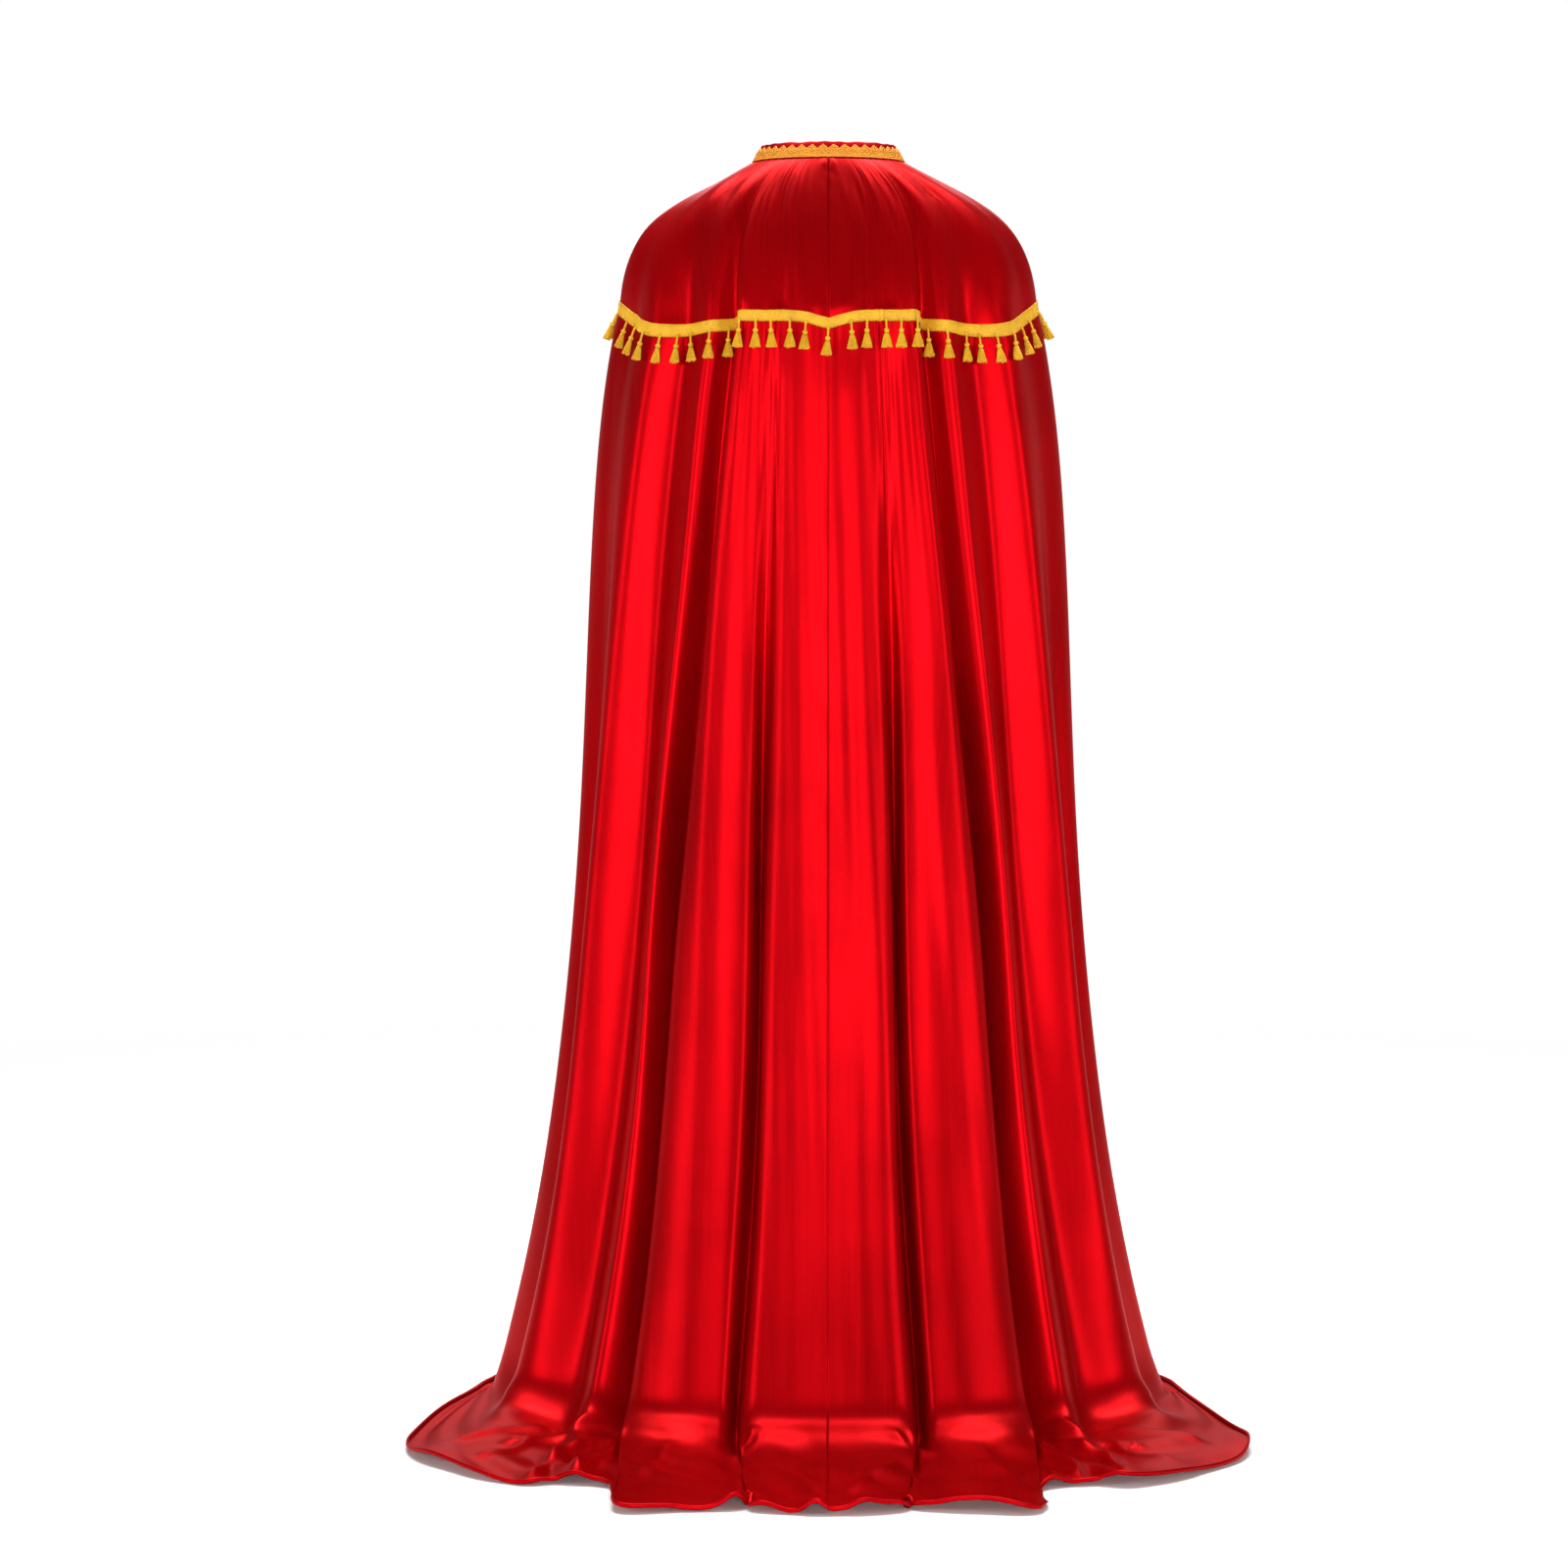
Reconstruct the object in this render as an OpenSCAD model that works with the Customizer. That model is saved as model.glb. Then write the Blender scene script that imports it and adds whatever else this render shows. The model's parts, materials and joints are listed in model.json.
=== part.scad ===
// A floor-length costume cape: a satin skirt gathered under a shoulder yoke, a stand neckband
// with lace braid, and a fringe tape with hanging tassels over the yoke seam.
// The wearer faces -Y, +Z is up, and the origin is the middle of the neckband's lower edge.

/* [Overall] */
// Height of the neckband's lower edge above the floor
drop = 1535; // [1450:5:1600]
// Thickness of the cloth layer
cloth_t = 1.5; // [1.2:0.1:2]
// Gap left at each sewn seam
seam_gap = 1; // [0.6:0.1:1.5]

/* [Neckband] */
// Half width of the neckband at its lower edge
neck_w = 93.5; // [85:0.5:100]
// Half depth of the neckband at its lower edge
neck_d = 73.5; // [68:0.5:80]
// How far the neckband leans in from bottom to top
neck_lean = 10.5; // [6:0.5:14]
// Height of the neckband
neck_h = 20; // [16:1:26]
// Height of the lace braid sewn to the neckband
braid_h = 15.5; // [12:0.5:17]
// Thickness of one neckband layer
layer_t = 1; // [0.8:0.1:1.2]

/* [Yoke] */
// Half width over the shoulders at the fringe tape
yoke_w = 258.6; // [250:1:270]
// Depth from the neck axis to the tape at the back
yoke_back = 145; // [135:1:155]
// Depth from the neck axis to the tape at the front
yoke_front = 140; // [130:1:150]

/* [Skirt] */
// Half width of the skirt where it meets the floor
floor_w = 420.6; // [400:1:440]
// Depth from the neck axis to where the back meets the floor
floor_back = 370; // [340:5:400]
// Depth from the neck axis to where the front meets the floor
floor_front = 260; // [230:5:290]

/* [Fringe] */
// Height of the fringe tape
tape_h = 11; // [9:0.5:13]
// Thickness of the fringe tape
tape_t = 1.4; // [1:0.1:1.6]
// Length of a tassel's hanging cord
cord_l = 12; // [10:1:14]
// Length of a tassel's bound head
head_l = 6; // [5:0.5:7]
// Length of a tassel's cut skirt
brush_l = 17; // [14:1:20]
// Radius of a tassel at its cut end
brush_r = 5.6; // [4.5:0.1:6]

/* [Hidden] */
SIDES = ["left", "right"];
// Where each tassel hangs on the tape, counted in folds from the centre back
back_places = [0.9, 1.65, 3.4, 4.75, 5.8, 7.45, 8, 8.75, 9.3, 9.75, 10.25, 10.75, 11.25, 11.75];
front_places = [12.3, 13, 13.75, 14.5, 15.5, 16.4, 17.5];
function back_name(side, i) = str("tassel_back_", side, i < 9 ? "_0" : "_", i + 1);
function front_name(side, i) = str("tassel_front_", side, "_", i + 1);

// Folds of one side, counted from the centre back (0) over the side seam (12) to the front
// edge (18). Each fold has its angle round the wearer and its depth, which is negative in a
// valley, at the fringe tape and at the floor.
side_seam = 12;
front_edge = 18;
angle_tape = [0, 6.5, 11.6, 14.3, 17, 20.5, 24.4, 27.4, 33.5, 44, 56, 72, 90, 103, 116, 126,
    136, 143, 150];
angle_low = [0, 6.8, 13.2, 15.9, 18.2, 27, 35.2, 38.8, 43.5, 54.5, 68, 78, 90, 101, 113, 124,
    135, 142, 148];
depth_tape = [3, 3, 0, 0, 0, 3, 0, -26, -2, -18, 0, -10, 0, -12, 0, -14, 0, -8, 0];
depth_low = [8, 8, 0, -38, -4, 10, 0, -46, 0, -38, 2, -22, 0, -30, 0, -32, 0, -18, 0];
// Height of the fringe tape at each fold
tape_z = [-206, -198, -196, -196, -196, -196, -196, -204, -208, -212, -211, -197, -178, -184,
    -190, -194, -198, -200, -202];
// Where the hem lies on the floor at each fold
hem_x = [0, 45, 85, 86, 100, 165, 234, 243, 300, 350, 425, 496, 442, 430, 406, 366, 312, 272, 234];
hem_y = [650, 645, 630, 600, 625, 636, 636, 530, 505, 510, 450, 315, 0, -56, -112, -160, -200,
    -226, -240];

// Smooth curve through a list's values, read at any place u between 0 and its last index
function at(list, u) =
    let (i = min(max(floor(u), 0), len(list) - 2), t = u - i,
         a = list[i], b = list[i + 1],
         ma = i > 0 ? (b - list[i - 1]) / 2 : b - a,
         mb = i < len(list) - 2 ? (list[i + 2] - a) / 2 : b - a)
    a * (1 + 2 * t) * (1 - t) * (1 - t) + ma * t * (1 - t) * (1 - t)
    + b * t * t * (3 - 2 * t) - mb * t * t * (1 - t);
function mix(a, b, t) = a + (b - a) * t;
function smooth(t) = let (c = min(max(t, 0), 1)) c * c * (3 - 2 * c);
function bezier(p, t) = p[0] * pow(1 - t, 3) + 3 * p[1] * t * pow(1 - t, 2)
    + 3 * p[2] * t * t * (1 - t) + p[3] * pow(t, 3);
function unit(p) = p / norm(p);

// A point round an oval that is w wide and d deep each way, pushed out by the fold's depth
function round_body(angle, w, d, fold, z) =
    let (out = unit([sin(angle) / w, cos(angle) / d]))
    [w * sin(angle) + fold * out.x, d * cos(angle) + fold * out.y, z];

// Yoke, v from 0 at the neckband to 1 at the tape
function yoke_point(u, v) =
    let (angle = at(angle_tape, u) * mix(177 / 150, 1, smooth(v)),
         w = bezier([neck_w, 190, yoke_w - 8, yoke_w], v),
         back = bezier([neck_d, 100, yoke_back - 10, yoke_back], v),
         front = bezier([neck_d, 98, yoke_front - 10, yoke_front], v),
         side_z = bezier([0, -0.26, -0.35, -1], v),
         mid_z = bezier([0, -0.15, -0.6, -1], v),
         z = mix(mid_z, side_z, pow(sin(angle), 2)) * -at(tape_z, u))
    round_body(angle, w, angle < 90 ? back : front, at(depth_tape, u) * pow(v, 1.5), z);

// Skirt, s from 0 at the tape to 1 at the floor
function skirt_point(u, s) =
    let (t = smooth(s / 0.6),
         angle = mix(at(angle_tape, u), at(angle_low, u), t),
         w = yoke_w + 42 * (1 - exp(-s / 0.12)) + (floor_w - yoke_w - 42) * pow(s, 3.2),
         back = yoke_back + (floor_back - yoke_back) * (0.25 * s + 0.75 * pow(s, 3)),
         front = yoke_front + (floor_front - yoke_front) * s)
    round_body(angle, w, angle < 90 ? back : front, mix(at(depth_tape, u), at(depth_low, u), t),
        mix(at(tape_z, u), floor_z, s));

// Train, t from 0 where the skirt meets the floor to 1 at the hem
floor_z = -drop + cloth_t / 2;
function train_point(u, t) =
    let (start = skirt_point(u, 1), hem = [at(hem_x, u), at(hem_y, u), floor_z])
    mix(start, hem, t);

// The whole cloth of one side: v runs 0 to 1 down the yoke, to 2 down the skirt, to 3 at the hem
bend_start = 1.955;
bend_end = 2.16;
function cloth(u, v) =
    v <= 1 ? yoke_point(u, v)
    : v <= bend_start ? skirt_point(u, v - 1)
    : v >= bend_end ? train_point(u, v - 2)
    : let (t = (v - bend_start) / (bend_end - bend_start))
      mix(mix(skirt_point(u, bend_start - 1), skirt_point(u, 1), t),
          mix(skirt_point(u, 1), train_point(u, bend_end - 2), t), t);

// Outward direction of the cloth
step = 0.004;
function outward(u, v) =
    let (along = cloth(u + step, v) - cloth(u - step, v),
         down = cloth(u, v + step) - cloth(u, max(v - step, 0)))
    unit(cross(along, down));
function raised(u, v, r) = cloth(u, v) + r * outward(u, v);

function mirrored(p, side) = side == "left" ? p : [-p.x, p.y, p.z];

// Closed solid between two grids of points, outer and inner, of the same rows and columns.
// The rows run down and the columns run the way that turns left-handed round the wearer.
module shell(outer, inner) {
    rows = len(outer);
    cols = len(outer[0]);
    n = rows * cols;
    points = concat([for (row = outer) each row], [for (row = inner) each row]);
    function id(r, c) = r * cols + c;
    function quad(a, b, c, d) = [[a, b, c], [a, c, d]];
    faces = concat(
        [for (r = [0:rows - 2], c = [0:cols - 2])
            each quad(id(r, c), id(r, c + 1), id(r + 1, c + 1), id(r + 1, c))],
        [for (r = [0:rows - 2], c = [0:cols - 2])
            each quad(n + id(r, c), n + id(r + 1, c), n + id(r + 1, c + 1), n + id(r, c + 1))],
        [for (c = [0:cols - 2]) each quad(id(0, c), n + id(0, c), n + id(0, c + 1), id(0, c + 1))],
        [for (c = [0:cols - 2]) each quad(id(rows - 1, c), id(rows - 1, c + 1),
            n + id(rows - 1, c + 1), n + id(rows - 1, c))],
        [for (r = [0:rows - 2]) each quad(id(r, 0), id(r + 1, 0), n + id(r + 1, 0), n + id(r, 0))],
        [for (r = [0:rows - 2]) each quad(id(r, cols - 1), n + id(r, cols - 1),
            n + id(r + 1, cols - 1), id(r + 1, cols - 1))]);
    polyhedron(points, faces);
}

// A panel of cloth on one side, between the columns us and the rows vs
module panel(side, us, vs, r_out, r_in) {
    function grid(r) = [for (v = vs) [for (u = side == "left" ? us : [for (i = [len(us) - 1:-1:0]) us[i]])
        mirrored(raised(u, v, r), side)]];
    shell(grid(r_out), grid(r_in));
}

function steps(a, b, n) = [for (i = [0:n]) mix(a, b, i / n)];
fold_steps = 3;
back_cols = steps(0.02, side_seam - 0.02, side_seam * fold_steps);
front_cols = steps(side_seam + 0.05, front_edge - 0.01, (front_edge - side_seam) * fold_steps);
yoke_end = 1 - 0.5 * seam_gap / 200;
skirt_start = 1 + 0.5 * seam_gap / 1340;
yoke_rows = steps(0.012, yoke_end, 7);
skirt_rows = concat(steps(skirt_start, bend_start, 11), steps(1.99, bend_end, 3), [2.4, 2.7, 3]);
front_rows = concat(steps(skirt_start, bend_start, 11), [2, 2.3, 3]);
half_t = cloth_t / 2;

module yoke_back(side) color("#E0202C") panel(side, back_cols, yoke_rows, half_t, -half_t);
module yoke_front(side) color("#E0202C") panel(side, front_cols, yoke_rows, half_t, -half_t);
module skirt_back(side) color("#C8141E") panel(side, back_cols, skirt_rows, half_t, -half_t);
module skirt_front(side) color("#C8141E") panel(side, front_cols, front_rows, half_t, -half_t);

// Fringe tape over the yoke seam
tape_gap = 0.3;
tape_in = half_t + tape_gap;
tape_out = tape_in + tape_t;
tape_rows_up = 1 - 0.5 * tape_h / 200;
tape_rows_down = 1 + 0.5 * tape_h / 1340;

module fringe_tape_back() {
    function ring(r, v) = concat(
        [for (i = [len(back_cols) - 1:-1:0]) mirrored(raised(back_cols[i], v, r), "right")],
        [for (u = back_cols) raised(u, v, r)]);
    vs = [tape_rows_up, 1, tape_rows_down];
    color("#E0B020") shell([for (v = vs) ring(tape_out, v)], [for (v = vs) ring(tape_in, v)]);
}

module fringe_tape_front(side) color("#E0B020")
    panel(side, front_cols, [tape_rows_up, 1, tape_rows_down], tape_out, tape_in);

// Neckband layers, open at the centre front. A layer starts r outside the band's face.
neck_open = 3.2;
function band_point(angle, z, r) =
    let (lean = neck_lean * z / neck_h)
    [(neck_w - lean + r) * sin(angle), (neck_d - lean + r) * cos(angle), z];
module band(z0, z1, r_out, r_in, open) {
    angles = steps(-180 + open, 180 - open, 60);
    shell([for (z = [z1, z0]) [for (a = angles) band_point(a, z, r_out)]],
        [for (z = [z1, z0]) [for (a = angles) band_point(a, z, r_in)]]);
}
layer = layer_t + 0.15;
module neckband_outer() color("#D01822") band(0, neck_h, 0, -layer_t, neck_open);
module neckband_interfacing() color("#F0EEE8")
    band(1, neck_h - 1, -layer, -layer - layer_t, neck_open + 0.6);
module neckband_facing() color("#8C0C14")
    band(0, neck_h, -2 * layer, -2 * layer - layer_t, neck_open);
module neck_braid() color("#E59E0C") band(0.4, braid_h, 1.7, 0.25, neck_open - 0.2);

// Hook and eye behind the neckband's opening
wire_r = 0.5;
hook_r = 1.7;
eye_r = 4;
eye_near = 2;
hook_y = -(neck_d - neck_lean / 2 - 2 * layer - layer_t) + hook_r + wire_r + 1.1;
hook_z = neck_h / 2;
module wire(length) rotate([0, -90, 0]) cylinder(r = wire_r, h = length, $fn = 24);
module neck_hook() color("#C9CCD0") translate([eye_near, hook_y, hook_z]) {
    rotate([0, 0, -90]) rotate_extrude(angle = 180, $fn = 48)
        translate([hook_r, 0]) circle(r = wire_r, $fn = 24);
    translate([0, -hook_r, 0]) wire(11);
    translate([0, hook_r, 0]) wire(3);
}
module neck_eye() color("#C9CCD0") translate([eye_near + eye_r, hook_y, hook_z])
    rotate([90, 0, 0]) rotate_extrude($fn = 48)
        translate([eye_r, 0]) circle(r = wire_r, $fn = 24);

// A tassel hangs in front of the tape from its pivot. It faces straight out from the wearer,
// and leans a little clear of the cloth.
hang_out = tape_out + 2;
hang_down = 4;
hang_lean = 9;
tassel_l = cord_l + head_l + brush_l;
function below(u, down) = cloth(u, 1 + down / 1340);
function facing(u) =
    let (a = at(angle_tape, u), d = a < 90 ? yoke_back : yoke_front)
    unit([sin(a) / yoke_w, cos(a) / d]);
function pivot(u) = let (n = outward(u, 1)) below(u, hang_down) + hang_out * unit([n.x, n.y, 0]);
function slope(u) =
    let (p = below(u, hang_down + tassel_l) - below(u, hang_down), n = facing(u))
    atan2(p.x * n.x + p.y * n.y, tassel_l);
function lean(u) = max(slope(u), 0) + hang_lean;
function facing_angle(u, side) =
    let (n = facing(u)) atan2(n.y, side == "left" ? n.x : -n.x);

module tassel(u, side) color("#F0B010") {
    translate(mirrored(pivot(u), side))
    rotate([0, 0, facing_angle(u, side)]) rotate([0, -lean(u), 0]) {
        translate([0, 0, -cord_l]) cylinder(r = 1.2, h = cord_l, $fn = 24);
        translate([0, 0, -cord_l - head_l]) rotate_extrude($fn = 36) polygon(
            [[0, 0], [2.4, 0], for (i = [0:8]) [0.9 * sin(i * 22.5) + 2.4, head_l * i / 8],
             [0, head_l]]);
        translate([0, 0, -tassel_l]) cylinder(r1 = brush_r, r2 = 2.8, h = brush_l, $fn = 36);
    }
}

neckband_outer();
neckband_interfacing();
neckband_facing();
neck_braid();
neck_hook();
neck_eye();
fringe_tape_back();
tassel(0, "left");  // tassel_back_centre
for (side = SIDES) {
    yoke_back(side);
    yoke_front(side);
    skirt_back(side);
    skirt_front(side);
    fringe_tape_front(side);
    for (i = [0:len(back_places) - 1])
        tassel(back_places[i], side);
    for (i = [0:len(front_places) - 1])
        tassel(front_places[i], side);
}
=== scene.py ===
"""Costume cape in red satin with a stand neckband, lace braid and a fringe of hanging tassels.

Laid out as a Blender add-on and run as a script. Every new piece is a surface worked out with
numpy on a grid of two parameters, in metres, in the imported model's own frame: the wearer faces
-Y, +Z is up, and the origin is the middle of the neckband's lower edge.
"""

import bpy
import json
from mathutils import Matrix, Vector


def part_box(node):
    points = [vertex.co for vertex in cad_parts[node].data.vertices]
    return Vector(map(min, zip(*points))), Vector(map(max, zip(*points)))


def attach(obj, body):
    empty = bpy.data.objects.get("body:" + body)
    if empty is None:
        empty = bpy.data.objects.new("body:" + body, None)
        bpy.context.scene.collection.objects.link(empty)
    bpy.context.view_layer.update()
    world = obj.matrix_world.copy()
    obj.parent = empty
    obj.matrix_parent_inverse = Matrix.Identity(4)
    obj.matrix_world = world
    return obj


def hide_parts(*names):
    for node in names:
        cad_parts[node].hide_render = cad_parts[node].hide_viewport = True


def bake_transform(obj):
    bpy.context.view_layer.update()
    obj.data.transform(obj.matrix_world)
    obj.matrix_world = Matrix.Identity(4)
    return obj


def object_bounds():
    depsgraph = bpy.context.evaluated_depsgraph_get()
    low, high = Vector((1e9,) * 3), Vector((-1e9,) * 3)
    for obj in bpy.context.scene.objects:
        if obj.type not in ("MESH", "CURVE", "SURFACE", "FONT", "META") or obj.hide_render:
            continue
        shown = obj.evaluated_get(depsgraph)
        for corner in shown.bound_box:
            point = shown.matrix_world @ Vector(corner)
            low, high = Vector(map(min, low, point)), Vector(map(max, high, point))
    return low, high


bl_info = {
    "name": "Satin Cape",
    "version": (1, 0, 0),
    "blender": (4, 5, 0),
    "location": "3D View > Sidebar > Cape",
    "description": "Builds a satin costume cape with a tassel fringe on its packed frame",
    "category": "Object",
}

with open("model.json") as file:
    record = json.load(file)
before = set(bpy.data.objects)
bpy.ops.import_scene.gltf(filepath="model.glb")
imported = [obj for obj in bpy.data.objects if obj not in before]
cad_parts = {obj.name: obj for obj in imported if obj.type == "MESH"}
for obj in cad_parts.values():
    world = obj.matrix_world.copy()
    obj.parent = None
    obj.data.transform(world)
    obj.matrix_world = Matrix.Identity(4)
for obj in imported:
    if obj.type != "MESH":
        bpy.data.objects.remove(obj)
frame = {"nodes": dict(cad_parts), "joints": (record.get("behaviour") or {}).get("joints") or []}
CAD_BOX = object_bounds()

import json
import math

import bmesh
import bpy
import numpy as np
from bpy.props import FloatProperty, FloatVectorProperty, IntProperty, PointerProperty
from mathutils import Vector

TAU = 2 * math.pi
MM = 0.001
SIDES = (("left", 1.0), ("right", -1.0))
JOINTS = {joint["child"]: joint for joint in frame["joints"]}
FLOOR = CAD_BOX[0][2]

# ---------------------------------------------------------------- sizes and colours


def metres(name, description, default):
    return FloatProperty(name=name, description=description, default=default, unit="LENGTH")


def paint(name, description, default):
    return FloatVectorProperty(name=name, description=description, subtype="COLOR",
                               default=default, min=0, max=1)


class CapeCloth(bpy.types.PropertyGroup):
    yoke_half_width: metres("Yoke half width", "Half width over the shoulders at the fringe tape",
                            0.2586)
    yoke_back: metres("Yoke back", "Depth from the neck axis to the tape at the back", 0.145)
    yoke_front: metres("Yoke front", "Depth from the neck axis to the tape at the front", 0.140)
    floor_half_width: metres("Floor half width", "Half width where the skirt meets the floor",
                             0.4206)
    floor_back: metres("Floor back", "Depth from the neck axis to where the back meets the floor",
                       0.370)
    floor_front: metres("Floor front", "Depth from the neck axis to where a front meets the floor",
                        0.260)
    thickness: metres("Cloth thickness", "Thickness of one layer of satin", 0.0006)
    hem_roll: metres("Hem roll", "Radius of the rolled hem", 0.0022)
    columns: IntProperty(
        name="Columns per fold", description="Grid columns in each fold of a panel",
        default=20, min=6)


class CapeTrim(bpy.types.PropertyGroup):
    neck_half_width: metres("Neckband half width", "Half width of the neckband at its lower edge",
                            0.0935)
    neck_half_depth: metres("Neckband half depth", "Half depth of the neckband at its lower edge",
                            0.0735)
    neck_lean: metres("Neckband lean", "How far the neckband leans in from bottom to top", 0.0105)
    neck_height: metres("Neckband height", "Height of the stand neckband", 0.020)
    braid_height: metres("Braid height", "Height of the lace braid to the tips of its points",
                         0.0165)
    braid_points: IntProperty(
        name="Braid points", description="Points round the lace braid's upper edge", default=40)
    tape_height: metres("Tape height", "Height of the ribbed fringe tape", 0.011)
    tassel_threads: IntProperty(
        name="Tassel threads", description="Threads in one tassel's cut skirt", default=84)
    cord_length: metres("Tassel cord", "Length of a tassel's twisted hanging cord", 0.012)
    head_length: metres("Tassel head", "Length of a tassel's bound head", 0.006)
    brush_length: metres("Tassel skirt", "Length of a tassel's cut skirt", 0.018)


class CapeColours(bpy.types.PropertyGroup):
    satin: paint("Satin", "Face of the red satin", (0.44, 0.0006, 0.003))
    satin_deep: paint("Deep satin", "Red of the satin in its streaks and hollows",
                      (0.33, 0.0003, 0.002))
    facing: paint("Facing", "Dull side of the satin, inside the neckband", (0.33, 0.004, 0.012))
    lace: paint("Lace", "Orange-gold thread of the neck braid", (0.92, 0.36, 0.010))
    tape: paint("Tape", "Yellow-gold thread of the fringe tape", (0.98, 0.50, 0.014))
    tassel: paint("Tassel", "Golden rayon thread of the tassels", (0.98, 0.50, 0.010))


def cloth_sizes():
    return bpy.context.scene.cape_cloth


def trim_sizes():
    return bpy.context.scene.cape_trim


def colours():
    return bpy.context.scene.cape_colours


# ---------------------------------------------------------------- the shape of the cloth

# Folds of one side, counted from the centre back (0) over the side seam (12) to the front
# edge (18): the angle round the wearer in degrees and the depth in millimetres, which is
# negative in a valley, each at the fringe tape and low on the skirt.
SIDE_SEAM = 12
FRONT_EDGE = 18
ANGLE_TAPE = (0, 6.5, 11.6, 14.3, 17, 20.5, 24.4, 27.4, 33.5, 44, 56, 72, 90, 103, 116, 126, 136,
              143, 150)
ANGLE_LOW = (0, 6.8, 13.2, 15.9, 18.2, 27, 35.2, 38.8, 43.5, 54.5, 68, 78, 90, 101, 113, 124, 135,
             142, 148)
DEPTH_TAPE = (3, 3, 0, 0, 0, 3, 0, -26, -2, -18, 0, -10, 0, -12, 0, -14, 0, -8, 0)
DEPTH_LOW = (8, 8, 0, -38, -4, 10, 0, -46, 0, -38, 2, -22, 0, -30, 0, -32, 0, -18, 0)
# Height of the fringe tape at each fold
TAPE_Z = (-206, -198, -196, -196, -196, -196, -196, -204, -208, -212, -211, -197, -178, -184, -190,
          -194, -198, -200, -202)
# Where the hem lies on the floor at each fold
HEM_X = (0, 45, 85, 86, 100, 165, 234, 243, 300, 350, 425, 496, 442, 430, 406, 366, 312, 272, 234)
HEM_Y = (650, 645, 630, 600, 625, 636, 636, 530, 505, 510, 450, 315, 0, -56, -112, -160, -200,
         -226, -240)


def at(values, u):
    """Cubic Hermite curve through the list's values, with central-difference slopes, read at u."""
    values = np.asarray(values, float)
    last = len(values) - 2
    i = np.clip(np.floor(u).astype(int), 0, last)
    t = u - i
    a, b = values[i], values[i + 1]
    slope_a = np.where(i > 0, (b - values[np.maximum(i - 1, 0)]) / 2, b - a)
    slope_b = np.where(i < last, (values[np.minimum(i + 2, last + 1)] - a) / 2, b - a)
    return (a * (1 + 2 * t) * (1 - t) ** 2 + slope_a * t * (1 - t) ** 2
            + b * t * t * (3 - 2 * t) - slope_b * t * t * (1 - t))


def mix(a, b, t):
    return a + (b - a) * t


def smooth(t):
    """3t^2 - 2t^3 with t held between 0 and 1."""
    t = np.clip(t, 0, 1)
    return t * t * (3 - 2 * t)


def bump(t, centre, width):
    """exp(-((t - centre) / width)^2)."""
    return np.exp(-(((t - centre) / width) ** 2))


def bezier(p, t):
    """Cubic Bezier curve of four control values."""
    return (p[0] * (1 - t) ** 3 + 3 * p[1] * t * (1 - t) ** 2
            + 3 * p[2] * t * t * (1 - t) + p[3] * t ** 3)


def round_body(angle, width, depth, fold, z):
    """Oval (w sin a, d cos a), pushed out by the fold's depth along the oval's normal."""
    sin, cos = np.sin(np.radians(angle)), np.cos(np.radians(angle))
    out_x, out_y = sin / width, cos / depth
    size = np.hypot(out_x, out_y)
    x = width * sin + fold * out_x / size
    y = depth * cos + fold * out_y / size
    return np.stack([x, y, z + 0 * x], -1)


def wander(u, v, seed, count=5):
    """Sum of a few slow sines across the folds and down the cloth, between about -1 and 1."""
    rng = np.random.default_rng(seed)
    total = 0 * (u + v)
    for _ in range(count):
        across, down = rng.uniform(0.25, 1.1), rng.uniform(1.0, 4.5)
        total = total + np.sin(across * u * 2.1 + down * v + rng.uniform(0, TAU))
    return total / count ** 0.5 / 1.4


def yoke_point(u, v):
    """Yoke, v from 0 at the neckband to 1 at the tape: ovals whose half width, half depth and
    height each follow a Bezier curve, with folds that grow as v^1.5 from the neckband."""
    s = cloth_sizes()
    t = trim_sizes()
    angle = at(ANGLE_TAPE, u) * mix(177 / 150, 1, smooth(v))
    width = bezier((t.neck_half_width, 0.190, s.yoke_half_width - 0.008, s.yoke_half_width), v)
    back = bezier((t.neck_half_depth, 0.100, s.yoke_back - 0.010, s.yoke_back), v)
    front = bezier((t.neck_half_depth, 0.098, s.yoke_front - 0.010, s.yoke_front), v)
    side_z = bezier((0, -0.26, -0.35, -1), v)
    mid_z = bezier((0, -0.15, -0.6, -1), v)
    z = mix(mid_z, side_z, np.sin(np.radians(angle)) ** 2) * -at(TAPE_Z, u) * MM
    fold = at(DEPTH_TAPE, u) * MM * np.maximum(v, 0) ** 1.5
    return round_body(angle, width, np.where(angle < 90, back, front), fold, z)


def skirt_point(u, s):
    """Skirt, s from 0 at the tape to 1 at the floor: the half width opens quickly over the arms
    as 1 - exp(-s / 0.12) and again near the floor as s^3.2, the back opens as
    0.25 s + 0.75 s^3, and the folds move from their places at the tape to their lower places
    by s = 0.6."""
    c = cloth_sizes()
    t = smooth(s / 0.6)
    angle = mix(at(ANGLE_TAPE, u), at(ANGLE_LOW, u), t)
    away = smooth(u / 0.8) * smooth((SIDE_SEAM - u) / 0.8) + smooth((u - SIDE_SEAM) / 0.8)
    angle = angle + 0.5 * wander(u, 3.0 * s, 4) * away * smooth(s / 0.2)
    over_arms = 0.042
    width = (c.yoke_half_width + over_arms * (1 - np.exp(-s / 0.12))
             + (c.floor_half_width - c.yoke_half_width - over_arms) * s ** 3.2)
    back = c.yoke_back + (c.floor_back - c.yoke_back) * (0.25 * s + 0.75 * s ** 3)
    front = c.yoke_front + (c.floor_front - c.yoke_front) * s
    fold = mix(at(DEPTH_TAPE, u), at(DEPTH_LOW, u), t) * MM
    z = mix(at(TAPE_Z, u) * MM, FLOOR, s)
    return round_body(angle, width, np.where(angle < 90, back, front), fold, z)


# Where the bend from the skirt into the train starts and ends, as values of v
BEND_START = 1.955
BEND_END = 2.16


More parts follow.
